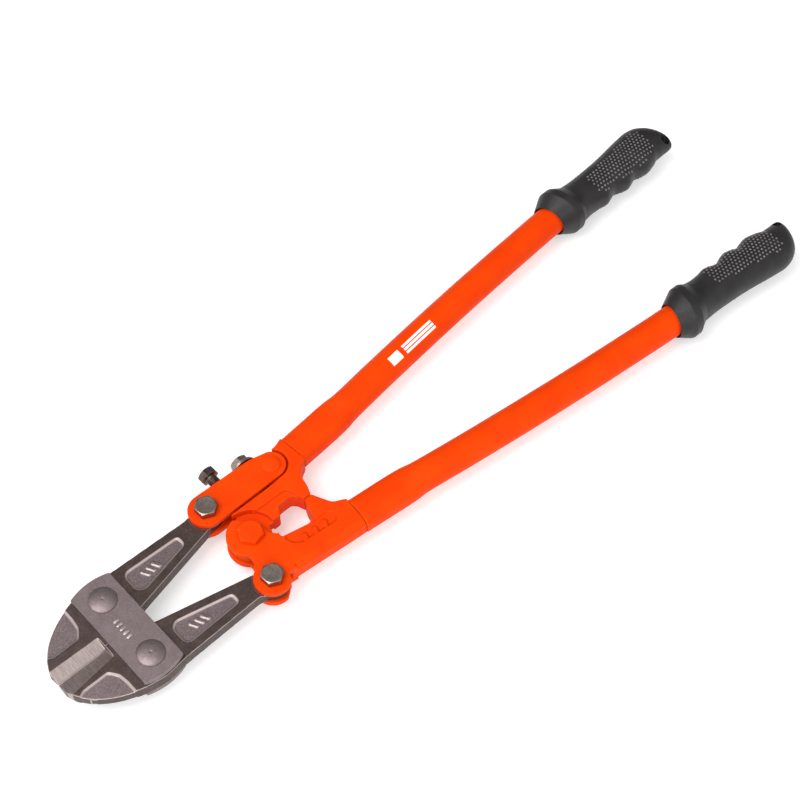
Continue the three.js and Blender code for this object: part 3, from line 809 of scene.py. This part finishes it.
def rivets():
    """The two jaw rivets, and the painted one that the link turns on."""
    for name, side in (("upper_jaw_rivet", 1), ("lower_jaw_rivet", -1)):
        solid = rivet_points(radius=7, head=9.4, face=PLATE_FACE, dome=2.2)
        solid = placed(solid, JAW_PIVOT[0], side * JAW_PIVOT[1])
        fastener(name, PLATE, solid, angle=40)
    solid = placed(rivet_points(radius=5, head=6.6, face=FORK_FACE, dome=1.9), *LINK_PIVOT)
    fastener("link_rivet", CAST_PAINT, solid, angle=50)


M8 = {"radius": 4, "pitch": 1.25}
M10 = {"radius": 5, "pitch": 1.5}
THREADED = 12  # how far the linkage bolts are threaded, for their nuts
JAW_BOLT_FLATS = 14
JAW_WASHER_SEAT, JAW_NUT_SEAT = -10.1, -16.8
CENTRE_BOLT_FLATS = 16
CENTRE_WASHER_SEAT, CENTRE_NUT_SEAT, CENTRE_TIP = -10.3, -15.9, -17.4


def linkage_bolts():
    """The two jaw bolts, each with its spring washer and nut."""
    for name, side in (("upper_jaw_bolt", 1), ("lower_jaw_bolt", -1)):
        x, y = JAW_JOINT[0], side * JAW_JOINT[1]
        size = {"flats": JAW_BOLT_FLATS, "height": 5.3, "length": HEAD_SEAT - LOWEST}
        solid = bolt_points(**M8, **size, turn=65, threaded=THREADED)
        fastener(name, ZINC, placed(solid, x, y, HEAD_SEAT), 0.12)
        solid = placed(split_ring(inner=4.3, outer=7, thickness=2), x, y, JAW_WASHER_SEAT)
        fastener(name + "_spring_washer", ZINC, solid)
        solid = nut_points(M8["radius"], JAW_BOLT_FLATS, height=6.5, turn=77)
        fastener(name + "_nut", ZINC, placed(solid, x, y, JAW_NUT_SEAT), 0.12)


def centre_bolt():
    """The painted bolt that the two castings turn on, with its spring washer and nut."""
    x, y = CENTRE
    size = {"flats": CENTRE_BOLT_FLATS, "height": 4, "length": HEAD_SEAT - CENTRE_TIP}
    solid = bolt_points(**M10, **size, turn=40, threaded=THREADED)
    fastener("centre_bolt", CAST_PAINT, placed(solid, x, y, HEAD_SEAT), 0.35)
    solid = placed(split_ring(inner=5.3, outer=8.6, thickness=2.2), x, y, CENTRE_WASHER_SEAT)
    fastener("centre_bolt_spring_washer", ZINC, solid)
    solid = nut_points(M10["radius"], CENTRE_BOLT_FLATS, height=5.4, turn=55)
    solid = placed(solid, x, y, CENTRE_NUT_SEAT)
    fastener("centre_bolt_nut", CAST_PAINT, solid, 0.3)


# The adjusting screws lie along y: x, the underside of the head, the tip.
FRONT_SCREW = (165, 55.2, 20.9)
REAR_SCREW = (186.4, 47.7, 12.5)
SCREW_FLATS = 12
SCREW_HEAD = 5.3
UNTHREADED = 1.2  # under the head
WASHER_SEAT = 45.8
WASHER = ((4.3, 0), (9.2, 0), (9.4, 0.25), (9.4, 1.35), (9.2, 1.6), (4.3, 1.6))


def screw(place, turn):
    """An adjusting screw along y, threaded nearly up to its head."""
    x, seat, tip = place
    size = {"flats": SCREW_FLATS, "height": SCREW_HEAD, "length": seat - tip}
    solid = bolt_points(**M8, **size, turn=turn, threaded=seat - tip - UNTHREADED)
    return placed(solid, x, seat, 0, True)


def adjusting_screws():
    """The front screw, dark with oil and painted thread shade, and the rear one, bright at its head
    and with the same on its shank, with its washer.
    """
    fastener("front_adjusting_screw", OILED_AND_SHADED, screw(FRONT_SCREW, 40), 0.12)
    thing = fastener("rear_lock_screw", ZINC, screw(REAR_SCREW, 55), 0.12)
    thing.data.materials.append(OILED_AND_SHADED)
    x, seat, _ = REAR_SCREW
    spots = centres(thing)[0]
    from_axis = np.hypot(spots[:, 0] - x, spots[:, 2])
    # The rear screw's threaded shank gets the darker finish: oil, and painted shade for the thread's
    # grooves.
    shank = (spots[:, 1] < seat - 0.2) & (from_axis < M8["radius"] + 0.2)
    use_finish(thing, np.nonzero(shank)[0], 1)
    solid = spin([(ROUND, r, z) for r, z in WASHER], closed=True)
    fastener("rear_lock_washer", ZINC, placed(solid, x, WASHER_SEAT, 0, True))


# ---------------------------------------------------------------- handles

# The middle line of the upper handle; the lower one mirrors it.
HANDLE_LINE = [
    (205, 31.9),
    (219, 33.1),
    (261, 37.2),
    (301, 42.5),
    (351, 48.6),
    (401, 54),
    (451, 58.6),
    (490, 61.7),
    (525, 62.8),
    (565, 63.6),
    (LENGTH, 64.4),
]


def catmull(points, steps):
    """A Catmull-Rom curve through the points."""
    p = np.array(points, float)
    padded = np.vstack([p[:1], p, p[-1:]])
    share = np.linspace(0, 1, steps, endpoint=False)[:, None]
    spans = []
    for a, b, c, d in zip(padded, padded[1:], padded[2:], padded[3:]):
        line = 2 * b + (c - a) * share
        curve = (2 * a - 5 * b + 4 * c - d) * share**2 + (3 * b - a - 3 * c + d) * share**3
        spans.append((line + curve) / 2)
    return np.vstack([*spans, p[-1:]])


LINE = catmull(HANDLE_LINE, 60)
SLOPE = np.gradient(LINE[:, 1], LINE[:, 0])


def line_at(x):
    """The middle line's y at x, and the unit vector across it."""
    y = np.interp(x, LINE[:, 0], LINE[:, 1])
    slope = np.interp(x, LINE[:, 0], SLOPE)
    length = math.hypot(1, slope)
    return y, (-slope / length, 1 / length)


def monotone(table, xs):
    """Rows [x, ...] interpolated at xs by a cubic that doesn't overshoot."""
    rows = np.array(table, float)
    x, values = rows[:, 0], rows[:, 1:]
    step = np.diff(x)[:, None]
    rise = np.diff(values, axis=0) / step
    slope = np.zeros_like(values)
    slope[0], slope[-1] = rise[0], rise[-1]
    same = rise[:-1] * rise[1:] > 0
    safe = np.where(same, rise[:-1] + rise[1:], 1)
    slope[1:-1] = np.where(same, 2 * rise[:-1] * rise[1:] / safe, 0)
    at = np.clip(np.searchsorted(x, xs) - 1, 0, len(x) - 2)
    h = (x[at + 1] - x[at])[:, None]
    t = ((xs - x[at]) / (x[at + 1] - x[at]))[:, None]
    keep = (1 + 2 * t) * (1 - t) ** 2
    made = keep * values[at] + t * (1 - t) ** 2 * h * slope[at]
    return made + (1 - keep) * values[at + 1] - t**2 * (1 - t) * h * slope[at + 1]


def section(x, inner, outer, half, squareness=2.0, lean=0.0, sides=64):
    """A cross-section of the handle. It reaches `inner` to one side of the middle line, `outer` to
    the other and `half` up and down. A squareness of 2 is round, and more is boxier."""

    def bent(value):
        return np.sign(value) * np.abs(value) ** (2 / squareness)

    y, across = line_at(x)
    turn = np.linspace(0, 2 * math.pi, sides, endpoint=False)
    offset = (outer - inner) / 2 + (outer + inner) / 2 * bent(np.cos(turn))
    along = x + across[0] * offset - lean * offset
    return np.stack([along, y + across[1] * offset, half * bent(np.sin(turn))], 1)


def sided(solid, side):
    """The solid as drawn for the upper handle, or mirrored for the lower one."""
    points, faces = solid
    return points * np.array([1, side, 1]), faces


TUBE_R = 11.2
TUBE_WALL = 2
TUBE_START, TUBE_END = 218.3, 590
TUBE_LIP = 0.35  # how far the flattened end is rounded
PRINT_SQUARE = (312, 322, 96, 132)  # x from and to, and degrees round the tube
PRINT_LINES_X = (326, 356)
PRINT_LINES = (96, 109.5, 123)
PRINT_LINE_WIDTH = 9

# The tube: x, half width, half height, squareness.
TUBE_SHAPE = [
    (TUBE_START, 12.1, 8.5, 3),
    (248, 12.2, 8.7, 3),
    (259, 12.1, 9.4, 2.6),
    (268, 11.3, 10.9, 2.1),
    (276, TUBE_R, TUBE_R, 2),
    (TUBE_END, TUBE_R, TUBE_R, 2),
]


def print_bar(start, end, low, high):
    """A thin printed bar on the tube, between two angles in degrees from the outer side."""
    above, below = TUBE_R + 0.05, TUBE_R - 0.3
    turn = np.radians(np.linspace(low, high, 7))
    rings = []
    for x in np.linspace(start, end, 24):
        y, across = line_at(x)
        ring = []
        for reach, angles in ((above, turn), (below, turn[::-1])):
            for a in angles:
                offset = reach * math.cos(a)
                ring.append((x + across[0] * offset, y + across[1] * offset, reach * math.sin(a)))
        rings.append(np.array(ring))
    return loft(rings)


def tube(node, side):
    """A steel tube, pressed flat over the casting's tang and round from there on. The upper one
    carries plain printed bars."""
    pressed = np.linspace(TUBE_START, 280, 60)
    xs = np.concatenate([pressed, np.linspace(285, TUBE_END, 90)])
    shape = monotone(TUBE_SHAPE, xs)
    w, h, square = shape[0]
    outer = [
        section(TUBE_START, w - TUBE_LIP, w - TUBE_LIP, h - TUBE_LIP, square),
        section(TUBE_START + TUBE_LIP, w, w, h, square),
        *[section(x, w, w, h, square) for x, (w, h, square) in zip(xs[1:], shape[1:])],
    ]
    bore = shape - (TUBE_WALL, TUBE_WALL, 0)
    inner = [section(x, w, w, h, square) for x, (w, h, square) in zip(xs, bore)]
    body = loft(outer + inner[::-1], closed=True)
    solids = [body]
    if side > 0:
        solids.append(print_bar(*PRINT_SQUARE))
        for low in PRINT_LINES:
            solids.append(print_bar(*PRINT_LINES_X, low, low + PRINT_LINE_WIDTH))
    thing = piece(node + "_detail", *sided(joined(*solids), side))
    show(thing, node, [TUBE_PAINT, PRINT], angle=40)
    if side > 0:
        printed = np.arange(len(thing.data.polygons)) >= len(body[1])
        use_finish(thing, printed, 1)


# The grip: x, reach towards the other handle, reach away from it, half height.
GRIP_SHAPE = [
    (487, 12.6, 12.6, 12.6),
    (496.5, 17.5, 17.5, 17.5),
    (498, 18.2, 18.2, 18.2),
    (503.5, 18.2, 18.2, 18.2),
    (509.5, 16.2, 13.4, 15.4),
    (519, 15.3, 13.2, 13.8),
    (527, 15.8, 13.4, 13.3),
    (533.5, 16.9, 13.7, 13.2),
    (538.5, 15.4, 13.9, 13.2),
    (544, 13.9, 14.1, 13.2),
    (549.5, 15.8, 14.7, 13.2),
    (555.5, 17.4, 15.4, 13.2),
    (560.5, 15.9, 16, 13.2),
    (565, 14.4, 16.6, 13.2),
    (570.5, 15.7, 17.4, 13.2),
    (576.5, 16.9, 18.2, 13.1),
    (585, 15.2, 18.9, 12.9),
    (592, 12.9, 17.8, 12.3),
    (598, 12.9, 14.8, 11.2),
    (602.5, 13.2, 10.2, 9.8),
    (606.2, 13, 2.8, 7.4),
    (LENGTH - 0.2, 10.9, -5.2, 3),
]
# Where the collar is drawn, so that its ridges stay crisp.
COLLAR_XS = [487, 487.4, 491, 496.2, 496.5, 496.8, 497.7, 498, 498.3, 500.7, 503.2, 503.5, 503.8]
COLLAR_XS += [506.5, 509.2]
COLLAR_END = 508
COLLAR_LEAN = 0.17  # how far the collar's face leans, along x for each millimetre across
LIP, BORE_END = 488.4, 492
BUTT = 598  # where the rounded end begins
GRIP_SQUARENESS = 2.25
SQUARE_FROM, SQUARE_RISE, SQUARE_FALL = 488, 8, 14
GRIP_SIDES = 96
HANG_HOLE = (602.8, -8.6, 3.3)  # x, place across the middle line, radius

DOT_PITCH = 3.1
DOT_R = 0.82
DOT_PROFILE = ((0.9, -0.4), (1.0, 0.0), (0.85, 0.24), (0.45, 0.38))  # share of the radius, height
DOT_START, DOT_STOP = 528.6, 590
DOT_ROWS, DOT_COLUMNS = range(-7, 7), 22
# How far the dotted panel reaches across the middle line, either way.
PANEL_OUT = ((527, 3), (584, 11.4), (590, 9.5))
PANEL_IN = ((527, 11), (533.5, 15), (544, 12), (555.5, 15), (565, 12.5), (576.5, 14.5), (590, 9))


def grip_sizes(xs):
    """Inner reach, outer reach and half height: straight on the collar, smooth waves behind it."""
    rows = np.array(GRIP_SHAPE)
    straight = np.stack([np.interp(xs, rows[:, 0], rows[:, k]) for k in (1, 2, 3)], 1)
    behind = [row for row in GRIP_SHAPE if row[0] > COLLAR_END]
    smooth = monotone(behind, np.maximum(xs, behind[0][0]))
    return np.where((xs > behind[0][0])[:, None], smooth, straight)


def squareness_at(x):
    """Round at the lip, a little boxier along the collar and the body, round again at the end."""
    rise = np.clip((x - SQUARE_FROM) / SQUARE_RISE, 0, 1)
    fall = np.clip((LENGTH - x) / SQUARE_FALL, 0, 1)
    return 2 + (GRIP_SQUARENESS - 2) * rise * fall


def grip_point(x, offset, sign):
    """A point on the grip's top or bottom skin, `offset` millimetres across the middle line."""
    inner, outer, half = grip_sizes(np.array([x]))[0]
    square = squareness_at(x)
    share = np.clip(abs((offset - (outer - inner) / 2) / ((outer + inner) / 2)), 0, 0.999)
    y, across = line_at(x)
    z = half * (1 - share**square) ** (1 / square)
    return np.array([x + across[0] * offset, y + across[1] * offset, sign * z])


def dot(x, offset, sign):
    """A low round dot standing on the skin, closed underneath."""
    step = 0.2
    at = grip_point(x, offset, sign)
    ahead = grip_point(x + step, offset, sign) - at
    aside = grip_point(x, offset + step, sign) - at
    normal = np.cross(ahead, aside)
    normal *= sign / np.linalg.norm(normal)
    u = ahead / np.linalg.norm(ahead)
    v = np.cross(normal, u)
    turn = np.linspace(0, 2 * math.pi, 10, endpoint=False)[:, None]
    circle = u * np.cos(turn) + v * np.sin(turn)
    return loft([at + circle * DOT_R * share + normal * rise for share, rise in DOT_PROFILE])


def dots():
    """The dotted panel on both broad sides: a staggered field that runs out into the grooves."""
    made = []
    row_pitch = DOT_PITCH * math.sqrt(3) / 2
    for sign in (1, -1):
        for row in DOT_ROWS:
            offset = row * row_pitch
            stagger = DOT_PITCH / 2 * (row % 2)
            for column in range(DOT_COLUMNS):
                x = DOT_START + stagger + column * DOT_PITCH
                out, back = np.interp(x, *zip(*PANEL_OUT)), np.interp(x, *zip(*PANEL_IN))
                if -back <= offset <= out and x < DOT_STOP:
                    made.append(dot(x, offset, sign))
    return joined(*made)


def grip(node, side):
    """Moulded rubber: a flared collar, finger grooves, dotted panels and a butt with its hole."""
    end = LENGTH - 0.2
    butt = BUTT + (end - BUTT) * np.sin(np.linspace(0.05, 1, 18) * math.pi / 2)
    xs = np.concatenate([COLLAR_XS, np.linspace(509.5, BUTT, 110), butt])
    skin = []
    for x, sizes in zip(xs, grip_sizes(xs)):
        lean = COLLAR_LEAN * np.clip((COLLAR_END + 3 - x) / 6, 0, 1)
        skin.append(section(x, *sizes, squareness_at(x), lean, GRIP_SIDES))
    round_bore = (TUBE_R + GAP, TUBE_R + GAP, TUBE_R + GAP, 2)
    bore_xs = np.linspace(TUBE_END + 1, BORE_END, 40)
    bore = [section(x, *round_bore, 0, GRIP_SIDES) for x in bore_xs]
    lip = section(LIP, *round_bore, COLLAR_LEAN, GRIP_SIDES)
    body = piece(node + "_detail", *sided(loft([*bore, lip, *skin]), side))
    x, offset, radius = HANG_HOLE
    y, across = line_at(x)
    at = (x + across[0] * offset, side * (y + across[1] * offset))
    cut(body, piece("hole", *round_bar(*at, radius, 48)))
    undotted = len(body.data.polygons)
    # The dots get the lighter finish: rubbed tops, and a painted glint.
    add(body, piece("dots", *sided(dots(), side)))
    show(body, node, [RUBBER, WORN_RUBBER_WITH_GLINT], angle=50)
    use_finish(body, np.arange(len(body.data.polygons)) >= undotted, 1)


# ---------------------------------------------------------------- the object

jaw("upper_jaw", 1, UPPER_BEVEL)
jaw("lower_jaw", -1, LOWER_BEVEL)
side_plate("side_plate_top", 1)
side_plate("side_plate_bottom", -1)
rivets()
castings()
linkage_bolts()
centre_bolt()
adjusting_screws()
for handle_side, handle in ((1, "upper"), (-1, "lower")):
    tube(handle + "_handle_tube", handle_side)
    grip(handle + "_grip", handle_side)


# ---------------------------------------------------------------- studio


FLOOR_HALF = 20  # metres
FLOOR_GLOW = 0.4  # as much light as the floor gives off by itself, like a light table


def floor():
    """A pale matt floor under the tool."""
    mesh = bpy.data.meshes.new("floor")
    half = FLOOR_HALF
    corners = [(-half, -half, 0), (half, -half, 0), (half, half, 0), (-half, half, 0)]
    mesh.from_pydata(corners, [], [(0, 1, 2, 3)])
    made = link_object("floor", mesh)
    n = Nodes("floor_paper")
    cloud = n.between(n.noise(60, 3), 0.3, 0.7)
    n.colour(n.mixed(cloud, (0.69, 0.69, 0.69), (0.71, 0.71, 0.71)))
    n.constant(roughness=0.9, emission_strength=FLOOR_GLOW)
    made.data.materials.append(n.material)


def soft_light(name, position, size, power):
    """A round lamp `size` metres across that faces the tool."""
    lamp = bpy.data.lights.new(name, "AREA")
    lamp.shape = "DISK"
    lamp.size = size
    lamp.energy = power
    made = link_object(name, lamp)
    made.location = position
    made.rotation_euler = (-Vector(position)).to_track_quat("-Z", "Y").to_euler()


BRIGHT_SIDE = (-0.66, -0.75, 0)  # where the studio's white wall stands
DIM, BRIGHT = 0.28, 1.0
DIM_UP_TO, BRIGHT_FROM = -0.6, 0.1  # of the way towards the bright side


def surroundings():
    """A white studio that is bright on one side and dim on the other."""
    world = bpy.data.worlds.new("studio")
    world.use_nodes = True
    tree = world.node_tree
    place = tree.nodes.new("ShaderNodeTexCoord").outputs["Generated"]
    towards = tree.nodes.new("ShaderNodeVectorMath")
    towards.operation = "DOT_PRODUCT"
    tree.links.new(place, towards.inputs[0])
    towards.inputs[1].default_value = BRIGHT_SIDE
    level = tree.nodes.new("ShaderNodeMapRange")
    tree.links.new(towards.outputs["Value"], level.inputs["Value"])
    level.inputs["From Min"].default_value = DIM_UP_TO
    level.inputs["From Max"].default_value = BRIGHT_FROM
    level.inputs["To Min"].default_value = DIM
    level.inputs["To Max"].default_value = BRIGHT
    tree.links.new(level.outputs[0], tree.nodes["Background"].inputs["Strength"])
    tree.nodes["Background"].inputs["Color"].default_value = (1, 1, 1, 1)
    bpy.context.scene.world = world


def studio():
    """The floor, the white surroundings and two soft lamps."""
    floor()
    surroundings()
    soft_light("side", (-1.1, -1.3, 1.0), size=1.5, power=12)
    soft_light("top", (-0.8, 0.3, 1.8), size=1.5, power=26)
    bpy.context.scene.view_settings.view_transform = "Standard"


CAMERA_DISTANCE = 1.2714  # metres
CAMERA_AZIMUTH = -0.7162  # radians, as are the elevation and the roll
CAMERA_ELEVATION = 0.9736
CAMERA_ROLL = -0.0178
CAMERA_AIM = (300.74, 17.13, 0)  # millimetres, as the shapes are
LENS, SENSOR = 83.43, 36
NEAREST = 0.05


def camera():
    """The photographer's place: the azimuth turns the view about z, the roll about its own axis."""
    right = Vector((math.cos(CAMERA_AZIMUTH), math.sin(CAMERA_AZIMUTH), 0))
    ahead = Vector((-right.y, right.x, 0))
    back = -ahead * math.cos(CAMERA_ELEVATION) + Vector((0, 0, math.sin(CAMERA_ELEVATION)))
    up = back.cross(right)
    turned_right = right * math.cos(CAMERA_ROLL) + up * math.sin(CAMERA_ROLL)
    turned_up = up * math.cos(CAMERA_ROLL) - right * math.sin(CAMERA_ROLL)
    data = bpy.data.cameras.new("camera")
    data.lens = LENS
    data.sensor_width = SENSOR
    data.clip_start = NEAREST
    made = link_object("camera", data)
    rotation = Matrix((turned_right, turned_up, back)).transposed().to_4x4()
    aim = Vector(to_frame(CAMERA_AIM))
    made.matrix_world = Matrix.Translation(aim + back * CAMERA_DISTANCE) @ rotation
    bpy.context.scene.camera = made


studio()
camera()
